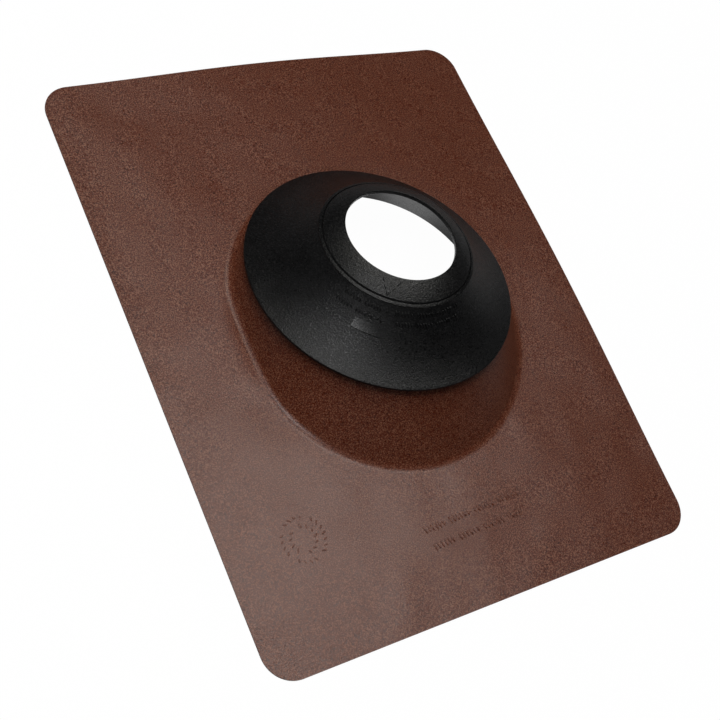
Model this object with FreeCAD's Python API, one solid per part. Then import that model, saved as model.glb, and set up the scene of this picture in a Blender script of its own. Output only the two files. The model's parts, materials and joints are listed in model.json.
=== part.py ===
"""Pipe flashing boot for a roof vent pipe: a drawn sheet-metal base and a moulded collar.

Frame: millimetres, +Z out of the roof, +Y up the slope, origin at the middle of the
underside of the flat flange. The dome and the collar share one axis, which leans up
the slope from the flange's normal. A radius is measured from that axis, and a height
along it, from the plane of the collar's rim.
"""
import FreeCAD, Part

import math
import os

Vec = FreeCAD.Vector

# ---- base: one sheet of painted metal -------------------------------------------
flange_width = 317.5            # across the slope
flange_length = 393.7           # along the slope
flange_corner_radius = 19.0
sheet_thickness = 0.8

# ---- axis shared by the dome and the collar -------------------------------------
axis_lean_deg = 10.0            # from the flange's normal, towards the upper edge
axis_offset_y = 14.9            # rim's centre, up the slope from the flange's middle
rim_level = 26.0                # rim's centre, above the flange's underside

# ---- dome, drawn out of the sheet -----------------------------------------------
dome_radius = 80.5              # outside of the wall, level with the rim
dome_wall_deg = 42.0            # lean of the wall from the axis
dome_top = 4.4                  # height of the flat seat round the hole
dome_shoulder = 1.3             # flat over the bend, back from its corner on each side
dome_foot_radius = 10.0         # sweep of the foot into the flange
seat_width = 6.5                # from the crest of the wall in to the hole

# ---- collar: skirt, tear-out ring and lip, moulded in one -----------------------
rim_overhang = 8.0              # reach of the rim past the dome's wall
rim_thickness = 1.7
skirt_wall = 2.4
skirt_top_radius = 50.2         # where the skirt meets the ledge round the ring
skirt_sag = 2.6                 # hollow of the skirt, below a straight cone
ledge_width = 1.6               # narrow step between the skirt and the tear groove
ledge_rise = 0.6
tear_width = 2.0                # V groove that the ring is torn out along
tear_depth = 1.2
ring_slope_deg = 29.5           # fall of the ring from the lip, from square to the axis
lip_radius = 35.5               # bore that grips the pipe
lip_top = 40.0
lip_land = 3.0                  # length of the bore's wall
lip_bevel = 0.8

# ---- clip under the skirt, which holds the edge of the dome's hole ---------------
slot_clearance = 0.5            # between the hole's edge and the bottom of the slot
slot_wall = 3.4                 # from the bottom of the slot to the leg's inner face
seat_margin = 1.0               # reach of the skirt's seat past the dome's seat
barb_reach = 4.6                # overlap of the barb and the sheet, past the hole's edge
barb_edge = 1.0                 # upright edge of the barb
leg_drop = 6.6                  # from the slot's lower face to the foot of the leg
leg_foot_width = 2.4
leg_lean_deg = 24.0             # lean of the leg's inner face from the axis

lean = math.radians(axis_lean_deg)
wall_slope = math.tan(math.radians(dome_wall_deg))
axis = Vec(0, math.sin(lean), math.cos(lean))
rim_centre = Vec(0, axis_offset_y, rim_level)
rim_radius = dome_radius + rim_overhang
dome_crest = dome_radius - wall_slope * dome_top
hole_radius = dome_crest - seat_width


def at(radius, height):
    """Point of a turned section, from its radius and height."""
    return rim_centre + Vec(radius, 0, 0) + axis * height


def section(*parts):
    """Flat face round a closed outline of corners and arcs, joined by straight edges.

    A corner is a (radius, height) pair, and an arc is its start, middle and end.
    """
    paths = [part if len(part) == 3 else (part,) for part in parts]
    edges = []
    for before, path in zip(paths[-1:] + paths[:-1], paths):
        edges.append(Part.makeLine(at(*before[-1]), at(*path[0])))
        if len(path) == 3:
            edges.append(Part.Arc(*[at(*p) for p in path]).toShape())
    return Part.Face(Part.Wire(edges))


def bevel(before, corner, after, back):
    """Two corners that stand in for one, each set back from it along its own side."""
    ends = []
    for side in (before, after):
        share = back / math.dist(corner, side)
        ends.append(tuple(c + share * (s - c) for c, s in zip(corner, side)))
    return ends


def turn(outline):
    """Solid swept by a section round the axis."""
    solid = outline.Faces[0].revolve(rim_centre, axis, 360)
    return solid if solid.Volume > 0 else solid.reversed()


def slab(grow, bottom, top):
    """Block with the flange's rounded outline, grown on every side."""
    width, length = flange_width + 2 * grow, flange_length + 2 * grow
    block = Part.makeBox(width, length, top - bottom, Vec(-width / 2, -length / 2, bottom))
    corners = [e for e in block.Edges if e.BoundBox.ZLength > (top - bottom) / 2]
    return block.makeFillet(flange_corner_radius + grow, corners)


def dome_core(inset):
    """Solid cone with a flat top and a bevelled shoulder, inset from the dome's outside.

    It runs down through the flange, and ends below its underside all the way round.
    """
    sideways = inset / math.cos(math.radians(dome_wall_deg))
    top = dome_top - inset
    crest = dome_crest - sideways + wall_slope * inset
    climb = math.cos(lean) - wall_slope * math.sin(lean)
    buried = -1.2 * (rim_level + dome_radius * math.sin(lean)) / climb
    root = dome_radius - sideways - wall_slope * buried
    shoulder = bevel((0, top), (crest, top), (root, buried), dome_shoulder)
    return turn(section((0, top), *shoulder, (root, buried), (0, buried)))


def filled(inset, grow):
    """Flange and dome as one deep block, inset from the outside, with a swept foot."""
    top = sheet_thickness - inset
    block = slab(grow, -flange_width - grow, top).fuse(dome_core(inset))
    foot = [e for e in block.Edges
            if not isinstance(e.Curve, Part.Line) and e.BoundBox.XLength > dome_radius
            and abs(e.BoundBox.ZMin - top) < 1e-4 and e.BoundBox.ZLength < 1e-4]
    return block.makeFillet(dome_foot_radius + inset, foot)


def base_flashing():
    """Flange and drawn dome in one sheet, with the round hole that the collar clips to."""
    sheet = filled(0.0, 0.0).cut(filled(sheet_thickness, flange_corner_radius))
    punch = Part.makeCylinder(hole_radius, 3 * sheet_thickness, at(0, dome_top - 2 * sheet_thickness), axis)
    return sheet.cut(punch).Solids[0]


def ring_height(radius):
    """Height of the tear-out ring's upper face."""
    return lip_top - math.tan(math.radians(ring_slope_deg)) * (radius - lip_radius)


def skirt_arc(set_down):
    """Start, middle and end of the skirt's hollow arc, set down square to its chord."""
    skirt_top = ring_height(skirt_top_radius) - ledge_rise
    across, fall = rim_radius - skirt_top_radius, skirt_top - rim_thickness
    chord = math.hypot(across, fall)
    shift = (-set_down * fall / chord, -set_down * across / chord)
    sag = (-skirt_sag * fall / chord, -skirt_sag * across / chord)
    start = (skirt_top_radius + shift[0], skirt_top + shift[1])
    middle = (start[0] + across / 2 + sag[0], start[1] - fall / 2 + sag[1])
    return start, middle, (start[0] + across, start[1] - fall)


def skirt_section():
    """Wall of the skirt, cut off level at the rim."""
    outer, inner = skirt_arc(0.0), skirt_arc(skirt_wall)
    wall = section(outer, (rim_radius, 0.0), (0, 0), (0, inner[0][1]), inner[0])
    return wall.cut(section((inner[0], inner[1], (rim_radius - rim_thickness, 0.0)), (0, 0), (0, inner[0][1])))


def ring_section():
    """Ring from the lip out to the skirt, with the tear groove in its upper face."""
    outer, inner = skirt_arc(0.0)[0], skirt_arc(skirt_wall)[0]
    groove_outer = skirt_top_radius - ledge_width
    groove_middle = groove_outer - tear_width / 2
    groove_inner = groove_outer - tear_width
    bore_end = (lip_radius, lip_top - lip_land)
    groove_start = (groove_inner, ring_height(groove_inner))
    return section(*bevel(bore_end, (lip_radius, lip_top), groove_start, lip_bevel), groove_start,
                   (groove_middle, ring_height(groove_middle) - tear_depth),
                   (groove_outer, ring_height(groove_outer)),
                   (skirt_top_radius, ring_height(skirt_top_radius)),
                   outer, inner, bore_end)


def leg_inner(height):
    """Radius of the leg's inner face."""
    flare = math.tan(math.radians(leg_lean_deg))
    return hole_radius - slot_clearance - slot_wall - flare * (height - dome_top)


def clip_section():
    """Seat, slot, barb and leg under the skirt, ending inside the skirt's wall."""
    slot_floor = hole_radius - slot_clearance
    under_sheet = dome_top - sheet_thickness
    barb_tip = hole_radius + barb_reach
    leg_foot = under_sheet - leg_drop
    seat_edge = dome_crest + seat_margin
    over = ring_height(skirt_top_radius)
    clip = section((seat_edge, dome_top), (slot_floor, dome_top), (slot_floor, under_sheet),
                   (barb_tip, under_sheet), (barb_tip, under_sheet - barb_edge),
                   (leg_inner(leg_foot) + leg_foot_width, leg_foot), (leg_inner(leg_foot), leg_foot),
                   (leg_inner(over), over), (seat_edge, over))
    middle = skirt_arc(skirt_wall / 2)
    return clip.common(section(middle, (middle[2][0], -over), (middle[0][0], -over)))


def collar():
    """Skirt, ring, lip and clip in one moulding."""
    parts = [turn(outline()) for outline in (skirt_section, ring_section, clip_section)]
    return parts[0].fuse(parts[1:]).removeSplitter().Solids[0]


os.makedirs("parts", exist_ok=True)
for name, solid in (("base_flashing", base_flashing()), ("rubber_collar", collar())):
    solid.exportStep(f"parts/{name}.step")
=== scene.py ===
"""Looks of a pipe flashing boot: a painted sheet-metal base and a moulded rubber collar.

Everything is in metres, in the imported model's frame: +Z out of the roof and +Y up the
slope. The dome and the collar are turned about one axis, which leans up the slope.
A radius is measured from that axis, and a height along it, from the collar's rim.
"""

import json
import logging
import math
from dataclasses import dataclass
from enum import Enum

import bmesh
import bpy
import numpy as np
from bpy.types import Material, NodeSocket, Object
from mathutils import Matrix, Vector

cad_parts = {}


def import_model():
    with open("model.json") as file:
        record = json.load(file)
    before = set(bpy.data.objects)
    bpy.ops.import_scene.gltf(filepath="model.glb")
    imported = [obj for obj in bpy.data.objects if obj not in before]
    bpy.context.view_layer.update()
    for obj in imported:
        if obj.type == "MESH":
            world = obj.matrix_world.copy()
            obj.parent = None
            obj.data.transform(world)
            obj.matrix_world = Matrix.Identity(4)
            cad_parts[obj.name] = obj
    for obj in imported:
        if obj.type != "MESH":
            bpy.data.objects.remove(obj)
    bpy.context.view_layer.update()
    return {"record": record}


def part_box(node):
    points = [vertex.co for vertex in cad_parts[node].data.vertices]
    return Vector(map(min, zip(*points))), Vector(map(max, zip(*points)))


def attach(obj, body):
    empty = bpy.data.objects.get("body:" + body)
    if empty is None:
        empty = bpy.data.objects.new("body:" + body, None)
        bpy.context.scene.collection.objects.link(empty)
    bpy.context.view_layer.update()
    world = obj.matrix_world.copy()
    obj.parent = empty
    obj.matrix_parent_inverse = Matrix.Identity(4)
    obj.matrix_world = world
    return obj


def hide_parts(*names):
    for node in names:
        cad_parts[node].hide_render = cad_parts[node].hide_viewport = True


LOG = logging.getLogger("pipe_flashing_boot")

MM = 0.001
MERGE_DISTANCE = 0.0001 * MM
SHARP_EDGE_DEG = 50.0           # angle between faces above which an edge stays sharp
BORE_ABOVE_RIM = 38.1 * MM      # middle of the pipe bore, above the plane of the rim
UP = np.array((0.0, 0.0, 1.0))
DOWN = (0.0, 0.0, -1.0)
WHITE = (1.0, 1.0, 1.0, 1.0)
USUAL_NOISE = (0.3, 0.7)        # range that most of a noise's values lie in

Pair = tuple[float, float]
Triple = tuple[float, float, float]
Faces = list[tuple[int, ...]]


class Node(Enum):
    """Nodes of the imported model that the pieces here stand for."""

    BASE = "base_flashing"
    COLLAR = "rubber_collar"


class Slot(Enum):
    """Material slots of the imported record."""

    PAINT = "base_paint"
    RUBBER = "collar_rubber"


# ---- shared geometry ----


@dataclass(frozen=True)
class LeaningAxis:
    """Axis that the dome and the collar are turned about.

    Attributes:
        origin: Centre of the collar's rim.
        direction: Unit vector along the axis, out of the roof.
    """

    origin: Vector
    direction: Vector

    @classmethod
    def from_record(cls, record: dict) -> "LeaningAxis":
        """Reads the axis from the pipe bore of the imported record.

        Args:
            record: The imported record.

        Returns:
            The axis, with its origin on the plane of the rim.
        """
        bore = next(m for m in record["mounts"] if m["kind"] == "bore")
        direction = Vector(bore["axis"]).normalized()
        return cls(Vector(bore["pos_m"]) - direction * BORE_ABOVE_RIM, direction)

    def outward(self, angles: np.ndarray) -> np.ndarray:
        """Unit vectors square to the axis.

        Args:
            angles: Angles about the axis in radians, from +X towards +Y.

        Returns:
            One vector for each angle.
        """
        across = Vector((1.0, 0.0, 0.0))
        up_slope = self.direction.cross(across)
        return np.outer(np.cos(angles), across) + np.outer(np.sin(angles), up_slope)

    def points(self, outline: list[Pair] | np.ndarray, angles: np.ndarray) -> np.ndarray:
        """Sweeps an outline about the axis.

        Args:
            outline: Pairs of radius and height.
            angles: Angles about the axis in radians.

        Returns:
            Points by outline pair, then by angle.
        """
        radius, height = np.array(outline, float).T
        along = np.array(self.origin) + np.outer(height, self.direction)
        return along[:, None, :] + radius[:, None, None] * self.outward(angles)[None]


def rounded(outline: list[Triple], steps: int = 5) -> list[Pair]:
    """Rounds the corners of a closed outline.

    Args:
        outline: Corners as x, y and radius, where a radius of 0 leaves a corner sharp.
        steps: Straight steps that stand for each arc.

    Returns:
        Corners of the rounded outline.
    """
    made: list[Pair] = []
    for index, (x, y, radius) in enumerate(outline):
        here = Vector((x, y))
        if radius == 0.0:
            made.append((x, y))
            continue
        back = (Vector(outline[index - 1][:2]) - here).normalized()
        on = (Vector(outline[(index + 1) % len(outline)][:2]) - here).normalized()
        half = back.angle(on) / 2
        inward = (back + on).normalized() * (radius / math.sin(half))
        centre = here + inward
        start = back * (radius / math.tan(half)) - inward
        sweep = (math.pi - 2 * half) * (1 if start.y * inward.x > start.x * inward.y else -1)
        for step in range(steps + 1):
            spoke = start.copy()
            spoke.rotate(Matrix.Rotation(sweep * step / steps, 2))
            made.append(tuple(centre + spoke))
    return made


def sagging(start: Pair, end: Pair, sag: float, steps: int) -> list[Pair]:
    """Points along an arc that hangs below the straight line between its ends.

    Args:
        start: Radius and height of the upper end.
        end: Radius and height of the lower end.
        sag: Depth of the arc below the line, at its middle.
        steps: Straight steps that stand for the arc.

    Returns:
        Points from start to end, both included.
    """
    (r0, h0), (r1, h1) = start, end
    chord = math.hypot(r1 - r0, h0 - h1)
    radius = (chord**2 / 4 + sag**2) / (2 * sag)
    half = math.asin(chord / 2 / radius)
    below = ((h1 - h0) / chord, (r0 - r1) / chord)
    made = []
    for turn in np.linspace(-half, half, steps + 1):
        share = (radius * math.sin(turn) + chord / 2) / chord
        depth = radius * math.cos(turn) - (radius - sag)
        made.append((r0 + (r1 - r0) * share + below[0] * depth,
                     h0 + (h1 - h0) * share + below[1] * depth))
    return made


def grid_faces(rows: int, columns: int, closed: bool, first: int = 0) -> Faces:
    """Quads of a grid of points.

    Args:
        rows: Rows of points.
        columns: Points in each row.
        closed: Whether the last column joins the first.
        first: Index of the grid's first point.

    Returns:
        Loops of indices into a row by row list of points.
    """
    faces = []
    for row in range(rows - 1):
        above, below = first + row * columns, first + (row + 1) * columns
        for column in range(columns if closed else columns - 1):
            beside = (column + 1) % columns
            faces.append((above + column, below + column, below + beside, above + beside))
    return faces


def add_object(name: str, data: bpy.types.ID) -> Object:
    """Makes an object at the origin, and links it into the scene."""
    made = bpy.data.objects.new(name, data)
    bpy.context.scene.collection.objects.link(made)
    return made


def mesh_object(name: str, points: np.ndarray, faces: Faces, edges: Faces | None = None) -> Object:
    """Makes a mesh object that sits at the origin.

    Args:
        name: Name of the object and of its mesh.
        points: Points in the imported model's frame.
        faces: Loops of point indices.
        edges: Pairs of point indices, where there are no faces.

    Returns:
        The object, linked into the scene.
    """
    mesh = bpy.data.meshes.new(name)
    mesh.from_pydata([tuple(p) for p in points], edges or [], faces)
    mesh.validate()
    return add_object(name, mesh)


def finish_mesh(made: Object) -> None:
    """Merges doubled points, turns the faces outwards and shades them smooth up to sharp edges."""
    work = bmesh.new()
    work.from_mesh(made.data)
    bmesh.ops.remove_doubles(work, verts=work.verts, dist=MERGE_DISTANCE)
    bmesh.ops.recalc_face_normals(work, faces=work.faces)
    work.to_mesh(made.data)
    work.free()
    made.data.shade_smooth()
    made.data.set_sharp_from_angle(angle=math.radians(SHARP_EDGE_DEG))


def apply_modifiers(made: Object) -> None:
    """Replaces an object's mesh by its evaluated one, and removes the modifiers."""
    evaluated = made.evaluated_get(bpy.context.evaluated_depsgraph_get())
    mesh = bpy.data.meshes.new_from_object(evaluated)
    made.modifiers.clear()
    made.data = mesh


# ---- node trees ----


class TreeBuilder:
    """Small builder for a node tree."""

    def __init__(self, tree: bpy.types.NodeTree) -> None:
        """Takes a tree to build in, and empties it."""
        self.tree = tree
        self.tree.nodes.clear()

    def feed(self, value: object, socket: NodeSocket) -> None:
        """Sets an input, or links an output to it.

        Args:
            value: Value, output socket, or node whose first output is meant.
            socket: Input socket.
        """
        if isinstance(value, bpy.types.Node):
            value = value.outputs[0]
        if isinstance(value, NodeSocket):
            self.tree.links.new(value, socket)
        else:
            socket.default_value = value

    def add(self, kind: str, settings: dict | None = None, **inputs: object) -> bpy.types.Node:
        """Adds a node.

        Args:
            kind: Blender's type name of the node.
            settings: Values for the node's own properties.
            **inputs: Values, sockets or nodes for its inputs, with _ for a space in a name.

        Returns:
            The new node.
        """
        node = self.tree.nodes.new(kind)
        for key, value in (settings or {}).items():
            setattr(node, key, value)
        for key, value in inputs.items():
            self.feed(value, node.inputs[key.replace("_", " ")])
        return node

    def compute(self, operation: str, *values: object, vector: bool = False) -> NodeSocket:
        """Adds a sum, product or other step on numbers or vectors.

        Args:
            operation: Blender's name of the step.
            *values: Numbers, vectors or sockets, in the order of the step's inputs.
            vector: Whether the step works on vectors.

        Returns:
            The step's result.
        """
        kind = "ShaderNodeVectorMath" if vector else "ShaderNodeMath"
        node = self.add(kind, {"operation": operation})
        for value, socket in zip(values, node.inputs):
            self.feed(value, socket)
        return next(o for o in node.outputs if o.enabled)

    def mix(self, share: object, first: bpy.types.Node, second: bpy.types.Node) -> bpy.types.Node:
        """Mixes two shaders.

        Args:
            share: Share of the second shader, or its socket.
            first: Node of the shader at a share of 0.
            second: Node of the shader at a share of 1.

        Returns:
            The node that mixes them.
        """
        node = self.add("ShaderNodeMixShader", Fac=share)
        self.feed(first, node.inputs[1])
        self.feed(second, node.inputs[2])
        return node


class Shader(TreeBuilder):
    """Small builder for a material."""

    def __init__(self, name: str) -> None:
        """Starts a material.

        Args:
            name: Name of the material.
        """
        self.material = bpy.data.materials.new(name)
        self.material.use_nodes = True
        super().__init__(self.material.node_tree)
        self.coordinates = self.add("ShaderNodeTexCoord").outputs["Object"]

    def noise(self, size: float, detail: float = 2.0, shift: float = 0.0) -> NodeSocket:
        """Noise over the piece's own coordinates.

        Args:
            size: Rough size of one blotch, in metres.
            detail: Number of finer layers.
            shift: Offset that tells one noise from another.

        Returns:
            The noise's value socket.
        """
        moved = self.add("ShaderNodeMapping", Vector=self.coordinates, Location=(shift,) * 3)
        return self.add("ShaderNodeTexNoise", Vector=moved, Scale=1.0 / size, Detail=detail,
                        Roughness=0.55).outputs["Fac"]

    def between(self, value: NodeSocket, bounds: Pair, ends: Pair) -> NodeSocket:
        """Maps a value from between two bounds to between two ends, and clamps it."""
        return self.add("ShaderNodeMapRange", Value=value, From_Min=bounds[0], From_Max=bounds[1],
                        To_Min=ends[0], To_Max=ends[1]).outputs["Result"]

    def blend(self, share: NodeSocket, first: object, second: object) -> NodeSocket:
        """Mixes two colours.

        Args:
            share: Share of the second colour.
            first: Colour or socket at a share of 0.
            second: Colour or socket at a share of 1.

        Returns:
            The mixed colour socket.
        """
        ends = [end if isinstance(end, NodeSocket) else (*end, 1.0) for end in (first, second)]
        node = self.add("ShaderNodeMix", {"data_type": "RGBA"}, Factor=share, A=ends[0], B=ends[1])
        return node.outputs["Result"]

    def skin(self, height: NodeSocket, relief: float, **inputs: object) -> Material:
        """Ends the material with a surface over a bump whose height of 1 stands for the relief."""
        bump = self.add("ShaderNodeBump", Height=height, Strength=1.0, Distance=relief)
        return self.surface(self.add("ShaderNodeBsdfPrincipled", Normal=bump, **inputs))

    def surface(self, node: bpy.types.Node) -> Material:
        """Joins the last shader to the output, and returns the material."""
        self.add("ShaderNodeOutputMaterial", Surface=node)
        return self.material


class GeometryTree(TreeBuilder):
    """Small builder for a geometry node tree with named inputs."""

    KINDS = {float: "Float", int: "Int", tuple: "Vector", Object: "Object", Material: "Material"}

    def __init__(self, name: str) -> None:
        """Starts a tree that takes geometry in and gives geometry out.

        Args:
            name: Name of the tree.
        """
        super().__init__(bpy.data.node_groups.new(name, "GeometryNodeTree"))
        for way in ("INPUT", "OUTPUT"):
            self.tree.interface.new_socket("Geometry", in_out=way, socket_type="NodeSocketGeometry")
        self.values: dict[str, object] = {}
        self.source = self.add("NodeGroupInput")

    def take(self, **values: object) -> None:
        """Adds named inputs.

        Args:
            **values: Values that they have on the piece, with _ for a space in a name.
        """
        for key, value in values.items():
            kind = next(kind for sort, kind in self.KINDS.items() if isinstance(value, sort))
            socket = self.tree.interface.new_socket(key.replace("_", " "), in_out="INPUT",
                                                    socket_type="NodeSocket" + kind)
            self.values[socket.identifier] = value

    def given(self, name: str) -> NodeSocket:
        """Socket of a named input."""
        return self.source.outputs[name]

    def shape(self, made: Object, geometry: bpy.types.Node, material: Material) -> None:
        """Ends the tree, runs it on an object and keeps the result as a plain mesh.

        Args:
            made: Object whose mesh the tree takes in.
            geometry: Node that gives the finished geometry.
            material: Material of the result.
        """
        self.take(Material=material)
        real = self.add("GeometryNodeRealizeInstances", Geometry=geometry)
        given = self.given("Material")
        dressed = self.add("GeometryNodeSetMaterial", Geometry=real, Material=given)
        self.add("NodeGroupOutput", Geometry=dressed)
        modifier = made.modifiers.new(self.tree.name, "NODES")
        modifier.node_group = self.tree
        for identifier, value in self.values.items():
            modifier[identifier] = value
        apply_modifiers(made)


@dataclass(frozen=True)
class Turning:
    """Tree that turns a flat outline about an upright line, then leans it.

    Attributes:
        axis: Axis that the turned shape ends on.
        path_radius: Radius of the circle that carries the outline.
        segments: Straight steps round the circle.
    """

    axis: LeaningAxis
    path_radius: float = 60.0 * MM
    segments: int = 360

    def build(self, name: str, outline: list[Pair], material: Material) -> Object:
        """Turns an outline.

        Args:
            name: Name of the piece.
            outline: Closed outline of radius and height.
            material: Material of the piece.

        Returns:
            The piece, as a plain mesh.
        """
        # An outline rides its circle with +X outwards and +Y down.
        flat = np.array([(radius - self.path_radius, -height, 0.0) for radius, height in outline])
        made = mesh_object(name, flat, [tuple(range(len(outline)))])
        tree = GeometryTree("turned_outline")
        lean_angle = math.atan2(-self.axis.direction.y, self.axis.direction.z)
        tree.take(Path_radius=self.path_radius, Segments=self.segments, Lean=lean_angle,
                  Centre=tuple(self.axis.origin))
        profile = tree.add("GeometryNodeMeshToCurve", Mesh=tree.given("Geometry"))
        circle = tree.add("GeometryNodeCurvePrimitiveCircle", Resolution=tree.given("Segments"),
                          Radius=tree.given("Path radius"))
        upright = tree.add("GeometryNodeSetCurveNormal", {"mode": "Z_UP"}, Curve=circle)
        swept = tree.add("GeometryNodeCurveToMesh", Curve=upright, Profile_Curve=profile)
        lean = tree.add("ShaderNodeCombineXYZ", X=tree.given("Lean"))
        placed = tree.add("GeometryNodeTransform", Geometry=swept, Translation=tree.given("Centre"),
                          Rotation=lean)
        tree.shape(made, placed, material)
        return made


@dataclass(frozen=True)
class PathMarks:
    """Tree that sets low oval bumps along a path on a surface.

    Attributes:
        pitch: Distance between bumps.
        size: Width, length and height of a bump.
        slant_deg: Turn of each bump from square to the path.
        group: Bumps in a group, with its gap counted in.
        gap: Bumps left out at the end of each group.
        shortest: Least length of a bump, as a share of its full length.
        seed: Seed of the lengths.
        set_back: Distance from the path back to where the search for the surface starts.
        search: Length of that search.
    """

    pitch: float
    size: Triple
    slant_deg: float = 0.0
    group: int = 1
    gap: int = 0
    shortest: float = 1.0
    seed: int = 3
    set_back: float = 6 * MM
    search: float = 30 * MM

    def build(self, name: str, path: np.ndarray, surface: Object, cast: Triple,
              material: Material) -> Object:
        """Sets the bumps.

        Args:
            name: Name of the piece.
            path: Points of the path, near the surface.
            surface: Piece that carries the bumps.
            cast: Direction from the path towards the surface.
            material: Material of the bumps.

        Returns:
            The bumps, as one plain mesh.
        """
        made = mesh_object(name, path, [], [(k, k + 1) for k in range(len(path) - 1)])
        tree = GeometryTree("bumps_on_path")
        tree.take(Surface=surface, Cast=cast, Pitch=self.pitch, Size=self.size,
                  Slant=math.radians(self.slant_deg), Group=self.group, Kept=self.group - self.gap,
                  Shortest=self.shortest, Seed=self.seed)
        curve = tree.add("GeometryNodeMeshToCurve", Mesh=tree.given("Geometry"))
        spaced = tree.add("GeometryNodeResampleCurve", {"mode": "LENGTH"}, Curve=curve,
                          Length=tree.given("Pitch"))
        carrier = tree.add("GeometryNodeObjectInfo", Object=tree.given("Surface"))
        place = tree.add("GeometryNodeInputPosition")
        start = tree.compute("MULTIPLY_ADD", tree.given("Cast"), (-self.set_back,) * 3, place,
                             vector=True)
        hit = tree.add("GeometryNodeRaycast", Target_Geometry=carrier.outputs["Geometry"],
                       Source_Position=start, Ray_Direction=tree.given("Cast"),
                       Ray_Length=self.search)
        landed = tree.add("GeometryNodeSetPosition", Geometry=spaced,
                          Selection=hit.outputs["Is Hit"], Position=hit.outputs["Hit Position"])
        ball = tree.add("GeometryNodeMeshUVSphere", Segments=10, Rings=6, Radius=0.5)
        slant = tree.add("ShaderNodeCombineXYZ", Z=tree.given("Slant"))
        oval = tree.add("GeometryNodeTransform", Geometry=ball, Scale=tree.given("Size"))
        turned = tree.add("GeometryNodeTransform", Geometry=oval, Rotation=slant)
        index = tree.add("GeometryNodeInputIndex")
        in_group = tree.compute("MODULO", index, tree.given("Group"))
        kept = tree.compute("LESS_THAN", in_group, tree.given("Kept"))
        along = tree.add("GeometryNodeInputTangent")
        facing = tree.add("FunctionNodeAxesToRotation",
                          {"primary_axis": "Z", "secondary_axis": "X"},
                          Primary_Axis=hit.outputs["Hit Normal"], Secondary_Axis=along)
        lengths = tree.add("FunctionNodeRandomValue", Min=tree.given("Shortest"), Max=1.0,
                           Seed=tree.given("Seed"))
        scale = tree.add("ShaderNodeCombineXYZ", X=1.0, Y=lengths.outputs["Value"], Z=1.0)
        set_down = tree.add("GeometryNodeInstanceOnPoints", Points=landed, Selection=kept,
                            Instance=turned, Rotation=facing, Scale=scale)
        smooth = tree.add("GeometryNodeSetShadeSmooth", Geometry=set_down)
        tree.shape(made, smooth, material)
        return made


# ---- finishes ----


@dataclass(frozen=True)
class SandedPaint:
    """Baked paint with a fine sandy speckle, as on a roof flashing.

    Attributes:
        name: Name of the material.
        dark: Darkest tone of the speckle.
        middle: Tone that most of the surface has.
        light: Tone of the pale grains.
        dark_bounds: Noise where the darkest tone sets in, and where it is full.
        light_bounds: The same for the pale grains.
        grain: Size of one grain, in metres.
        light_grain: Size of the pale grains, as a share of the others.
        cloud: Size of the slow patches that calm the speckle, in metres.
        cloud_bounds: Noise where a patch sets in, and where it is full.
        calm: How much of the speckle a patch takes away.
        relief: Height of the grains, in metres.
        sway: Height of the sheet's slow waves, in metres.
        wave: Length of those waves, in metres.
        roughness: Lowest and highest roughness.
        refraction: Index of refraction.
    """

    name: str = "sanded_brown_paint"
    dark: Triple = (0.030, 0.0030, 0.0008)
    middle: Triple = (0.080, 0.0155, 0.0050)
    light: Triple = (0.205, 0.086, 0.052)
    dark_bounds: Pair = (0.50, 0.38)
    light_bounds: Pair = (0.50, 0.62)
    grain: float = 1.2 * MM
    light_grain: float = 0.62
    cloud: float = 60.0 * MM
    cloud_bounds: Pair = (0.35, 0.65)
    calm: float = 0.15
    relief: float = 0.12 * MM
    sway: float = 1.1 * MM
    wave: float = 42.0 * MM
    roughness: Pair = (0.26, 0.36)
    refraction: float = 1.40

    def material(self) -> Material:
        """Builds the material."""
        shader = Shader(self.name)
        coarse = shader.noise(self.grain, detail=3.0)
        fine = shader.noise(self.grain * self.light_grain, shift=0.37)
        cloud = shader.noise(self.cloud, shift=0.11)
        deep = shader.between(coarse, self.dark_bounds, (0.0, 1.0))
        pale = shader.between(fine, self.light_bounds, (0.0, 1.0))
        calm = shader.between(cloud, self.cloud_bounds, (0.0, self.calm))
        tone = shader.blend(deep, self.middle, self.dark)
        tone = shader.blend(pale, tone, self.light)
        tone = shader.blend(calm, tone, self.middle)
        waves = shader.noise(self.wave, detail=1.0, shift=0.43)
        height = shader.compute("MULTIPLY_ADD", waves, self.sway / self.relief, coarse)
        rough = shader.between(fine, USUAL_NOISE, self.roughness)
        return shader.skin(height, self.relief, Base_Color=tone, Roughness=rough,
                           IOR=self.refraction)


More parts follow.
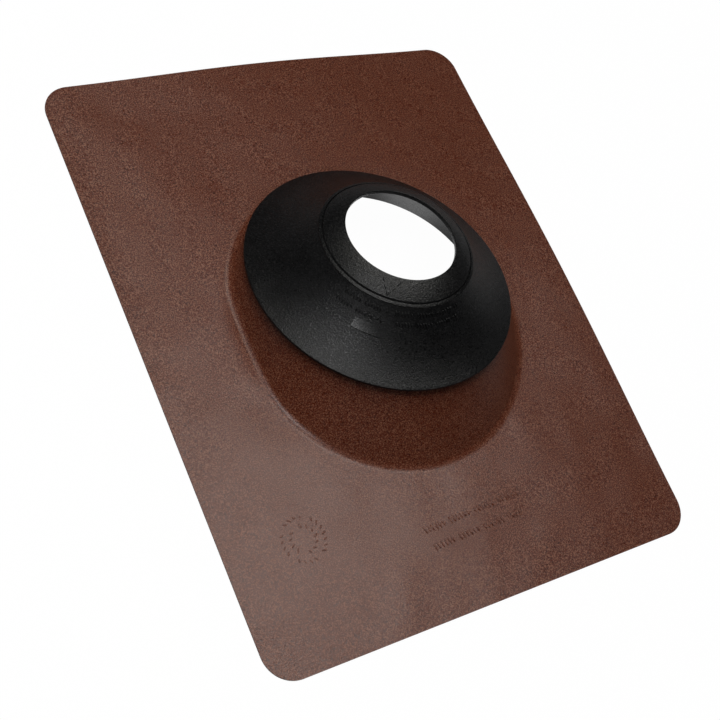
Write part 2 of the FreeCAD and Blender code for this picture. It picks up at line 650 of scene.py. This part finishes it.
@dataclass(frozen=True)
class MouldedRubber:
    """Black rubber with the fine leathery grain of its mould.

    Attributes:
        name: Name of the material.
        colour: Colour of the rubber.
        bloom: Colour of its palest patches.
        bloom_bounds: Noise where a grain turns pale, and where it is palest.
        grain: Size of one grain, in metres.
        fold: Size of the leathery folds, in grains.
        fold_share: Height of the folds, as a share of the grain's.
        cloud: Size of the slow pale patches, in metres.
        cloud_bounds: Noise where a patch sets in, and where it is full.
        cloud_bloom: Bloom of a full patch.
        relief: Height of the grain, in metres.
        roughness: Lowest and highest roughness.
        refraction: Index of refraction.
    """

    name: str = "moulded_black_rubber"
    colour: Triple = (0.0012, 0.0012, 0.0014)
    bloom: Triple = (0.0120, 0.0120, 0.0124)
    bloom_bounds: Pair = (0.50, 0.66)
    grain: float = 0.9 * MM
    fold: float = 1.7
    fold_share: float = 0.5
    cloud: float = 25.0 * MM
    cloud_bounds: Pair = (0.4, 0.7)
    cloud_bloom: float = 0.3
    relief: float = 0.26 * MM
    roughness: Pair = (0.20, 0.48)
    refraction: float = 1.38

    def material(self) -> Material:
        """Builds the material."""
        shader = Shader(self.name)
        folds = shader.noise(self.grain * self.fold)
        fine = shader.noise(self.grain, shift=0.23)
        cloud = shader.noise(self.cloud, detail=3.0, shift=0.71)
        patch = shader.between(cloud, self.cloud_bounds, (0.0, self.cloud_bloom))
        grainy = shader.between(fine, self.bloom_bounds, (0.0, 1.0))
        tone = shader.blend(patch, self.colour, self.bloom)
        tone = shader.blend(grainy, tone, self.bloom)
        height = shader.compute("MULTIPLY_ADD", folds, self.fold_share, fine)
        wear = shader.noise(self.grain, detail=3.0, shift=0.55)
        rough = shader.between(wear, USUAL_NOISE, self.roughness)
        return shader.skin(height, self.relief, Base_Color=tone, Roughness=rough,
                           IOR=self.refraction)


@dataclass(frozen=True)
class StudioFloor:
    """Pale floor that shows white to the camera, and keeps a faint shadow.

    Attributes:
        name: Name of the material.
        grey: Tone that the floor's bounce light has.
        glow: Share of plain white in what the camera sees.
        painted_glow_place: Middle of a painted glow on the floor under the dome, seen only in
            reflections.
        painted_glow_radius: Radius of that painted glow.
        painted_glow_fade: Radius where the painted glow has faded to grey, in glow radii.
        painted_glow_strength: Strength of the painted glow, which paints a reflection on the
            moulding inside the dome.
    """

    name: str = "studio_floor"
    grey: float = 0.25
    glow: float = 0.98
    painted_glow_place: Triple = (38 * MM, 46 * MM, 0.0)
    painted_glow_radius: float = 15 * MM
    painted_glow_fade: float = 1.8
    painted_glow_strength: float = 1.5

    def material(self) -> Material:
        """Builds the material."""
        shader = Shader(self.name)
        rays = shader.add("ShaderNodeLightPath").outputs
        # Painted glow: under the dome the floor shines for mirrored rays only, a painted pool of
        # light that paints a reflection on the moulding inside the dome.
        away = shader.compute("DISTANCE", shader.coordinates, self.painted_glow_place, vector=True)
        level = shader.between(away, (self.painted_glow_radius, self.painted_glow_radius * self.painted_glow_fade),
                               (self.painted_glow_strength, self.grey))
        bounce = shader.add("ShaderNodeBsdfDiffuse", Color=(self.grey, self.grey, self.grey, 1.0))
        mirrored = shader.add("ShaderNodeEmission", Color=WHITE, Strength=level)
        lit = shader.add("ShaderNodeBsdfDiffuse", Color=WHITE)
        white = shader.add("ShaderNodeEmission", Color=WHITE, Strength=1.0)
        unseen = shader.mix(rays["Is Glossy Ray"], bounce, mirrored)
        seen = shader.mix(self.glow, lit, white)
        return shader.surface(shader.mix(rays["Is Camera Ray"], unseen, seen))


# ---- base ----


@dataclass(frozen=True)
class SheetWarp:
    """How far the thin sheet stands clear of a plane through its flat lower left part.

    Attributes:
        foot_low: Rise of the dome's foot at the lower left.
        foot_high: Rise of the dome's foot at the upper right.
        high_side_deg: Direction of the high side, from +X towards +Y.
        foot_shift: Shift of the foot along X and Y.
        straight_rise: Rise at which the foot ends a straight wall. Where the sheet lies
            lower, the wall is drawn steeper, so that the foot keeps its place.
        flat_side: X of the line that flattens the foot on the left.
        flat_ease: Length over which the foot bends into that line.
        right_edge: Rise at the middle of the right edge.
        top_edge: Rise at the middle of the upper edge.
    """

    foot_low: float = 0.6 * MM
    foot_high: float = 3.6 * MM
    high_side_deg: float = 50.0
    foot_shift: Pair = (1.5 * MM, 1.8 * MM)
    straight_rise: float = 5.0 * MM
    flat_side: float = -92.5 * MM
    flat_ease: float = 6.0 * MM
    right_edge: float = 3.9 * MM
    top_edge: float = 4.9 * MM

    def at_foot(self, angles: np.ndarray) -> np.ndarray:
        """Rise of the dome's foot, in directions in radians from the dome's middle."""
        share = (1 + np.cos(angles - math.radians(self.high_side_deg))) / 2
        return self.foot_low + (self.foot_high - self.foot_low) * share

    def at_outline(self, across: np.ndarray, along: np.ndarray) -> np.ndarray:
        """Rise of points on the flange's outline.

        Args:
            across: X of each point, as a share of half the width.
            along: Y of each point, as a share of half the length.

        Returns:
            Rise of each point, in metres.
        """
        right = np.cos(along * math.pi / 2) ** 2 * np.clip(across, 0, 1) ** 2
        top = np.cos(across * math.pi / 2) ** 2 * np.clip(along, 0, 1) ** 2
        return self.right_edge * right + self.top_edge * top

    def foot_pull(self, foot_x: np.ndarray, run: np.ndarray, angles: np.ndarray) -> np.ndarray:
        """Shift of the foot from where a straight wall would put it.

        Args:
            foot_x: X of each point of the straight wall's foot.
            run: Way outwards, along X and Y, in which the wall falls by one metre.
            angles: Directions of the points from the dome's middle, in radians.

        Returns:
            Shift of each point along X and Y.
        """
        pull = -run * (self.straight_rise - self.at_foot(angles))[:, None] + self.foot_shift
        past = foot_x + pull[:, 0] - self.flat_side
        pull[:, 0] += (np.hypot(past, self.flat_ease) - past) / 2 * (np.cos(angles) < 0)
        return pull


@dataclass
class BaseFlashing:
    """Flange and drawn dome, made of one painted sheet.

    Attributes:
        axis: Axis of the dome.
        half_width: Half of the flange across the slope.
        half_length: Half of the flange along the slope.
        corner_radius: Radius of the flange's corners.
        thickness: Thickness of the sheet.
        dome_radius: Outside of the wall, level with the collar's rim.
        wall_deg: Lean of the wall from the axis.
        dome_top: Height of the seat round the hole.
        hole_radius: Radius of the hole that the collar clips to.
        shoulder_radius: Bend from the wall to the seat.
        foot_radius: Sweep of the foot into the flange.
        wall_rows: Rows of faces down the wall.
        foot_rows: Rows of faces round the sweep of the foot.
        flange_rows: Rows of faces from the foot to the outline.
        warp: Rise of the flange.
        finish: Paint.
        stroke: Pressed stroke of the rows.
        dot: Pressed dot of the rings.
        mark_rows: Ends of each row of pressed strokes.
        ring_centre: Middle of the round pressed mark.
        ring_radii: Radii of its rings of dots.
        marks_above: Level that the marks are cast down on to the sheet from.
    """

    axis: LeaningAxis
    half_width: float
    half_length: float
    corner_radius: float = 19.0 * MM
    thickness: float = 0.8 * MM
    dome_radius: float = 80.5 * MM
    wall_deg: float = 42.0
    dome_top: float = 4.4 * MM
    hole_radius: float = 70.0 * MM
    shoulder_radius: float = 3.0 * MM
    foot_radius: float = 11.0 * MM
    wall_rows: int = 12
    foot_rows: int = 10
    flange_rows: int = 27
    warp: SheetWarp = SheetWarp()
    finish: SandedPaint = SandedPaint()
    stroke: PathMarks = PathMarks(
        pitch=2.7 * MM, size=(1.3 * MM, 5.2 * MM, 0.74 * MM), slant_deg=14.0, group=7, gap=1,
        shortest=0.6)
    dot: PathMarks = PathMarks(
        pitch=3.6 * MM, size=(1.1 * MM, 3.0 * MM, 0.32 * MM), slant_deg=30.0, group=5, gap=1,
        shortest=0.6)
    mark_rows: tuple[tuple[Pair, Pair], ...] = (
        ((-31.3 * MM, -142.4 * MM), (43.0 * MM, -138.4 * MM)),
        ((-29.5 * MM, -153.6 * MM), (39.3 * MM, -150.7 * MM)),
    )
    ring_centre: Pair = (-108.0 * MM, -124.3 * MM)
    ring_radii: tuple[float, ...] = (8.0 * MM, 13.5 * MM)
    marks_above: float = 4.0 * MM

    def outline(self, side_step: float = 4.0 * MM, corner_steps: int = 18) -> np.ndarray:
        """Points round the flange, counter-clockwise from the lower end of the right edge.

        Args:
            side_step: Greatest distance between points on a straight edge.
            corner_steps: Steps round each corner.

        Returns:
            X and Y of each point.
        """
        inner_x = self.half_width - self.corner_radius
        inner_y = self.half_length - self.corner_radius
        arcs = []
        for quarter, (sx, sy) in enumerate(((1, 1), (-1, 1), (-1, -1), (1, -1))):
            turns = (quarter + np.linspace(0, 1, corner_steps + 1)) * math.pi / 2
            arcs.append(np.c_[sx * inner_x + self.corner_radius * np.cos(turns),
                              sy * inner_y + self.corner_radius * np.sin(turns)])
        points = []
        for before, arc in zip(arcs[-1:] + arcs[:-1], arcs):
            steps = math.ceil(np.linalg.norm(arc[0] - before[-1]) / side_step)
            shares = np.linspace(0, 1, steps + 1)[1:-1, None]
            points += [before[-1] * (1 - shares) + arc[0] * shares, arc]
        return np.concatenate(points)

    def upper_face(self) -> list[np.ndarray]:
        """Points of the sheet's upper face, as rows from the hole to the outline."""
        edge = self.outline()
        middle = self.axis.origin
        angles = np.arctan2(edge[:, 1] - middle.y, edge[:, 0] - middle.x)
        crest = self.dome_radius - math.tan(math.radians(self.wall_deg)) * self.dome_top
        bend = rounded([(self.hole_radius, self.dome_top, 0.0),
                        (crest, self.dome_top, self.shoulder_radius),
                        (self.dome_radius, 0.0, 0.0)])[:-1]
        rows = list(self.axis.points(bend, angles))
        rows += self.wall(rows[-1], angles)
        return rows + self.flange(rows[-1], edge, self.warp.at_foot(angles))

    def wall(self, wall_top: np.ndarray, angles: np.ndarray) -> list[np.ndarray]:
        """Rows down the wall and round the sweep of its foot.

        Args:
            wall_top: Points along the top of the wall.
            angles: Directions of those points from the dome's middle, in radians.

        Returns:
            Rows below the top, down to the flange's upper face.
        """
        slope = math.radians(self.wall_deg)
        fall = self.axis.outward(angles) * math.sin(slope)
        fall -= np.array(self.axis.direction) * math.cos(slope)
        top, level = wall_top[:, 2], self.thickness + self.warp.at_foot(angles)
        corner = wall_top + fall * ((top - level) / -fall[:, 2])[:, None]
        steep = np.arcsin(-fall[:, 2])
        flat = fall * (1.0, 1.0, 0.0)
        flat /= np.linalg.norm(flat, axis=1)[:, None]
        wall_end = corner - fall * (self.foot_radius * np.tan(steep / 2))[:, None]
        rows = [wall_top + (wall_end - wall_top) * share
                for share in np.linspace(0, 1, self.wall_rows + 1)[1:]]
        square = flat * np.sin(steep)[:, None] + UP * np.cos(steep)[:, None]
        hub = wall_end + square * self.foot_radius
        for share in np.linspace(1, 0, self.foot_rows + 1)[1:]:
            turn = (steep * share)[:, None]
            rows.append(hub - (flat * np.sin(turn) + UP * np.cos(turn)) * self.foot_radius)
        pull = self.warp.foot_pull(corner[:, 0], flat[:, :2] / np.tan(steep)[:, None], angles)
        for row in rows:
            row[:, :2] += pull * ((top - row[:, 2]) / (top - level))[:, None]
        return rows

    def flange(self, foot: np.ndarray, edge: np.ndarray, foot_rise: np.ndarray) -> list[np.ndarray]:
        """Rows from the dome's foot out to the outline.

        Args:
            foot: Points along the end of the foot's sweep.
            edge: X and Y of the outline, one for each of those points.
            foot_rise: Rise of each of them.

        Returns:
            Rows past the foot, down to the outline.
        """
        rise = self.warp.at_outline(edge[:, 0] / self.half_width, edge[:, 1] / self.half_length)
        rows = []
        for share in np.linspace(0, 1, self.flange_rows + 1)[1:]:
            eased = share * share * (3 - 2 * share)
            height = self.thickness + foot_rise * (1 - eased) + rise * eased
            rows.append(np.c_[foot[:, :2] * (1 - share) + edge * share, height])
        return rows

    def build(self) -> list[Object]:
        """Builds and dresses the sheet and its pressed marks."""
        rows = self.upper_face()
        paint = self.finish.material()
        faces = grid_faces(len(rows), len(rows[0]), closed=True)
        sheet = mesh_object("painted_base", np.concatenate(rows), faces)
        wall = sheet.modifiers.new("wall", "SOLIDIFY")
        wall.thickness, wall.offset, wall.use_even_offset = self.thickness, -1.0, True
        apply_modifiers(sheet)
        finish_mesh(sheet)
        sheet.data.materials.append(paint)
        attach(sheet, "root")
        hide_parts(Node.BASE.value)
        return [sheet, *self.marks(sheet, paint)]

    def marks(self, sheet: Object, paint: Material) -> list[Object]:
        """Low pressed strokes in two rows below the dome, and rings of dots at the lower left.

        Args:
            sheet: Sheet that carries the marks.
            paint: Material of the marks.

        Returns:
            One piece for each row and for each ring.
        """
        made = []
        for number, (start, end) in enumerate(self.mark_rows):
            path = np.linspace((*start, self.marks_above), (*end, self.marks_above), 30)
            made.append(self.stroke.build(f"sheet_strokes_{number}", path, sheet, DOWN, paint))
        turn = np.linspace(0, 2 * math.pi, 60)
        circle = np.c_[np.cos(turn), np.sin(turn), np.zeros(len(turn))]
        for number, radius in enumerate(self.ring_radii):
            path = circle * radius + (*self.ring_centre, self.marks_above)
            made.append(self.dot.build(f"sheet_ring_{number}", path, sheet, DOWN, paint))
        for piece in made:
            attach(piece, "root")
        return made


# ---- collar ----


@dataclass(frozen=True)
class CollarSection:
    """Section of the moulding. Corners are radius, height and rounding, in millimetres.

    Attributes:
        ring: Lip, tear groove and ledge, from the foot of the bore to the top of the skirt.
        rim: Rim, from the skirt's outside to its lining.
        clip: Seat, slot, barb and leg, from the outside in.
        lining_top: Upper end of the skirt's lining.
        clip_sides: Radii where the clip's outer and inner faces meet the lining.
        sag: Hollow of the skirt, below a straight cone.
        steps: Straight steps down the skirt.
    """

    ring: tuple[Triple, ...] = (
        (35.5, 37.0, 0.3), (35.5, 40.0, 0.45), (47.5, 33.21, 0.1), (48.05, 31.7, 0.1),
        (48.6, 32.59, 0.05), (50.2, 31.68, 0.06), (50.2, 31.08, 0.05),
    )
    rim: tuple[Triple, ...] = ((88.5, 1.7, 0.3), (88.5, 0.0, 0.3), (86.8, 0.0, 0.3))
    clip: tuple[Triple, ...] = (
        (77.54, 4.4, 0.2), (69.54, 4.4, 0.2), (69.54, 3.6, 0.2), (74.64, 3.6, 0.2),
        (74.64, 2.6, 0.3), (71.8, -3.0, 0.6), (69.4, -3.0, 0.6),
    )
    lining_top: Pair = (48.74, 29.18)
    clip_sides: Pair = (77.6, 60.3)
    sag: float = 2.6
    steps: int = 24

    def skirt(self) -> list[Pair]:
        """Outside of the skirt, from its top to the rim, in millimetres."""
        return sagging(self.ring[-1][:2], self.rim[0][:2], self.sag, self.steps)

    def outline(self) -> list[Pair]:
        """Closed and rounded outline of the moulding, in metres."""
        skirt = [(*p, 0.0) for p in self.skirt()[1:-1]]
        lining = sagging(self.lining_top, self.rim[-1][:2], self.sag, self.steps)[-2:0:-1]
        outer = [(*p, 0.0) for p in lining if p[0] > self.clip_sides[0]]
        inner = [(*p, 0.0) for p in lining if p[0] < self.clip_sides[1]]
        corners = [*self.ring, *skirt, *self.rim, *outer, *self.clip, *inner]
        return [(radius * MM, height * MM) for radius, height in rounded(corners)]


@dataclass
class RubberCollar:
    """Skirt, tear-out ring, lip and clip, moulded in one.

    Attributes:
        axis: Axis of the collar.
        section: Section of the moulding.
        finish: Rubber.
        smooth_finish: Rubber of the pad and the strokes.
        stroke: Raised stroke of the lines.
        ridge: Raised bump of the V.
        mark_lines: Radius and angle in degrees of both ends of each line of strokes.
        vee_lines: The same for the two ridges of the V.
        marks_above: Height that the marks are cast down on to the collar from.
        pad_angles: First and last angle of the smooth pad, in degrees.
        pad_radii: Its inner and outer radius.
        pad_lift: Its height above the skirt along its inner and outer edge.
        pad_root: Depth of its underside below the skirt.
        pad_grid: Points along its width and round its length.
    """

    axis: LeaningAxis
    section: CollarSection = CollarSection()
    finish: MouldedRubber = MouldedRubber()
    smooth_finish: MouldedRubber = MouldedRubber(
        "smooth_black_rubber", relief=0.02 * MM, roughness=(0.24, 0.32))
    stroke: PathMarks = PathMarks(
        pitch=1.9 * MM, size=(1.1 * MM, 4.0 * MM, 1.7 * MM), slant_deg=8.0, group=7, gap=1,
        shortest=0.65)
    ridge: PathMarks = PathMarks(
        pitch=3.1 * MM, size=(3.4 * MM, 0.9 * MM, 0.9 * MM))
    mark_lines: tuple[tuple[Pair, Pair], ...] = (
        ((53.2 * MM, 206.0), (53.2 * MM, 235.0)), ((57.4 * MM, 204.0), (57.4 * MM, 233.0)),
        ((53.2 * MM, 241.0), (53.2 * MM, 288.0)), ((57.4 * MM, 243.0), (57.4 * MM, 285.0)),
    )
    vee_lines: tuple[tuple[Pair, Pair], ...] = (
        ((39.5 * MM, 225.0), (45.8 * MM, 231.5)), ((39.5 * MM, 239.0), (45.8 * MM, 232.5)),
    )
    marks_above: float = 38.0 * MM
    pad_angles: Pair = (219.0, 237.0)
    pad_radii: Pair = (60.2 * MM, 65.2 * MM)
    pad_lift: Pair = (0.05 * MM, 0.60 * MM)
    pad_root: float = 0.3 * MM
    pad_grid: tuple[int, int] = (7, 16)

    def build(self) -> list[Object]:
        """Builds and dresses the collar and its raised marks."""
        rubber, smooth = self.finish.material(), self.smooth_finish.material()
        collar = Turning(self.axis).build("grained_collar", self.section.outline(), rubber)
        finish_mesh(collar)
        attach(collar, "root")
        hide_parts(Node.COLLAR.value)
        return [collar, *self.marks(collar, smooth)]

    def marks(self, collar: Object, smooth: Material) -> list[Object]:
        """Raised strokes in curved lines round the groove, a smooth pad and a small V on the ring.

        Args:
            collar: Collar that carries them.
            smooth: Material of the marks.

        Returns:
            The pad, and one piece for each line.
        """
        down = tuple(-self.axis.direction)
        made = [self.pad(smooth)]
        for number, (start, end) in enumerate(self.mark_lines + self.vee_lines):
            radii, degrees = np.linspace(start, end, 40).T
            path = np.array([self.axis.points([(radius, self.marks_above)], [angle])[0, 0]
                             for radius, angle in zip(radii, np.radians(degrees))])
            bump = self.stroke if number < len(self.mark_lines) else self.ridge
            made.append(bump.build(f"collar_strokes_{number}", path, collar, down, smooth))
        for piece in made:
            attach(piece, "root")
        return made

    def pad(self, smooth: Material) -> Object:
        """Thin smooth pad on the skirt, between the lines of strokes and the rim.

        Args:
            smooth: Material of the pad.

        Returns:
            The pad.
        """
        rows, columns = self.pad_grid
        angles = np.radians(np.linspace(*self.pad_angles, columns))
        radii = np.linspace(*self.pad_radii, rows)
        skirt = np.interp(radii, *(np.array(self.section.skirt()).T * MM))
        lifts = (np.linspace(*self.pad_lift, rows), -self.pad_root)
        points = np.array([self.axis.points(np.c_[radii, skirt + lift], angles) for lift in lifts])
        size = rows * columns
        faces = grid_faces(rows, columns, closed=False) + grid_faces(rows, columns, False, size)
        edge = [*range(columns), *range(2 * columns - 1, size, columns),
                *range(size - 2, size - columns - 1, -1), *range(size - 2 * columns, 0, -columns)]
        faces += [(a, b, b + size, a + size) for a, b in zip(edge, edge[1:] + edge[:1])]
        made = mesh_object("collar_pad", points.reshape(-1, 3), faces)
        finish_mesh(made)
        made.data.materials.append(smooth)
        return made


# ---- studio ----


class Reach(Enum):
    """What the light of a lamp does."""

    BOTH = "lights surfaces and is mirrored by them"
    PLAIN = "lights surfaces only"
    MIRRORED = "is mirrored only"


@dataclass(frozen=True)
class Softbox:
    """Flat lamp that faces the object.

    Attributes:
        name: Name of the lamp.
        place: Where it stands.
        sides: Its length and width.
        glow: Radiance of its face.
        turn_deg: Direction of its length, counter-clockwise from +X.
        colour: Colour of its light.
        reach: What its light does.
    """

    name: str
    place: Triple
    sides: Pair
    glow: float
    turn_deg: float = 0.0
    colour: Triple = (1.0, 1.0, 1.0)
    reach: Reach = Reach.BOTH

    def build(self) -> None:
        """Puts the lamp in the scene."""
        lamp = bpy.data.lights.new(self.name, "AREA")
        lamp.shape, lamp.size, lamp.size_y = "RECTANGLE", *self.sides
        lamp.energy = self.glow * math.pi * self.sides[0] * self.sides[1]
        lamp.color = self.colour
        made = add_object(self.name, lamp)
        made.visible_glossy = self.reach is not Reach.PLAIN
        made.visible_diffuse = self.reach is not Reach.MIRRORED
        back = Vector(self.place).normalized()
        turn = math.radians(self.turn_deg)
        along = Vector((math.cos(turn), math.sin(turn), 0.0))
        along = (along - back * along.dot(back)).normalized()
        columns = Matrix((along, back.cross(along), back)).transposed()
        made.matrix_world = Matrix.Translation(self.place) @ columns.to_4x4()


@dataclass(frozen=True)
class Studio:
    """Floor, world, lamps and camera.

    Attributes:
        camera_place: Where the camera stands.
        camera_target: Point in the middle of its view.
        camera_roll_deg: Turn of the camera about its line of sight.
        lens_mm: Focal length on a 36 mm sensor.
        floor_side: Length of the floor's sides.
        ambient: Strength of the world's light.
        lamps: Lamps.
    """

    camera_place: Triple = (-0.4266, -0.2512, 0.6396)
    camera_target: Triple = (-0.0395, -0.0364, 0.0260)
    camera_roll_deg: float = 41.5
    lens_mm: float = 62.9
    floor_side: float = 30.0
    ambient: float = 0.03
    lamps: tuple[Softbox, ...] = (
        Softbox("key", place=(-0.14, 0.66, 1.85), sides=(1.3, 1.3), glow=3.8, reach=Reach.PLAIN),
        Softbox("back_sheen", place=(0.00, 0.90, 1.80), sides=(0.6, 0.6), glow=6.2,
                colour=(1.0, 0.98, 0.88), reach=Reach.MIRRORED),
        Softbox("front_fill", place=(-0.50, -1.30, 1.10), sides=(0.9, 0.9), glow=0.9,
                reach=Reach.PLAIN),
        Softbox("right_sheen", place=(0.76, 0.20, 2.0), sides=(0.74, 0.80), glow=6.9,
                colour=(1.0, 0.99, 0.94), reach=Reach.MIRRORED),
        Softbox("left_sheen", place=(-0.70, -0.12, 2.0), sides=(0.90, 0.42), glow=10.5,
                turn_deg=170.0),
        Softbox("left_fill", place=(-1.24, 0.10, 1.56), sides=(0.8, 0.8), glow=1.8,
                reach=Reach.PLAIN),
    )

    def build(self) -> None:
        """Puts the studio in the scene."""
        corners = np.array([(-1, -1, 0), (1, -1, 0), (1, 1, 0), (-1, 1, 0)]) * self.floor_side / 2
        floor = mesh_object("floor", corners, [(0, 1, 2, 3)])
        floor.data.materials.append(StudioFloor().material())
        self.light_world()
        for lamp in self.lamps:
            lamp.build()
        self.place_camera()

    def light_world(self) -> None:
        """Gives the world a white that only the camera sees, over a plain dim light."""
        world = bpy.data.worlds.new("studio")
        bpy.context.scene.world = world
        world.use_nodes = True
        tree = TreeBuilder(world.node_tree)
        dim = tree.add("ShaderNodeBackground", Color=WHITE, Strength=self.ambient)
        white = tree.add("ShaderNodeBackground", Color=WHITE, Strength=1.0)
        seen = tree.add("ShaderNodeLightPath").outputs["Is Camera Ray"]
        tree.add("ShaderNodeOutputWorld", Surface=tree.mix(seen, dim, white))

    def place_camera(self) -> None:
        """Puts the camera in its place."""
        camera = bpy.data.cameras.new("camera")
        camera.lens = self.lens_mm
        made = add_object("camera", camera)
        place, target = Vector(self.camera_place), Vector(self.camera_target)
        level = (target - place).to_track_quat("-Z", "Y").to_matrix().to_4x4()
        roll = Matrix.Rotation(math.radians(self.camera_roll_deg), 4, "Z")
        made.matrix_world = Matrix.Translation(place) @ level @ roll
        bpy.context.scene.camera = made


def main() -> None:
    """Builds the object and its studio, and logs the faces of each piece."""
    logging.basicConfig(level=logging.INFO, format="%(message)s")
    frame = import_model()
    axis = LeaningAxis.from_record(frame["record"])
    low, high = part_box(Node.BASE.value)
    base = BaseFlashing(axis, (high.x - low.x) / 2, (high.y - low.y) / 2).build()
    collar = RubberCollar(axis).build()
    for piece in base + collar:
        LOG.info("%s: %d faces", piece.name, len(piece.data.polygons))
    Studio().build()
    bpy.context.scene.view_settings.view_transform = "Standard"


if __name__ == "__main__":
    main()
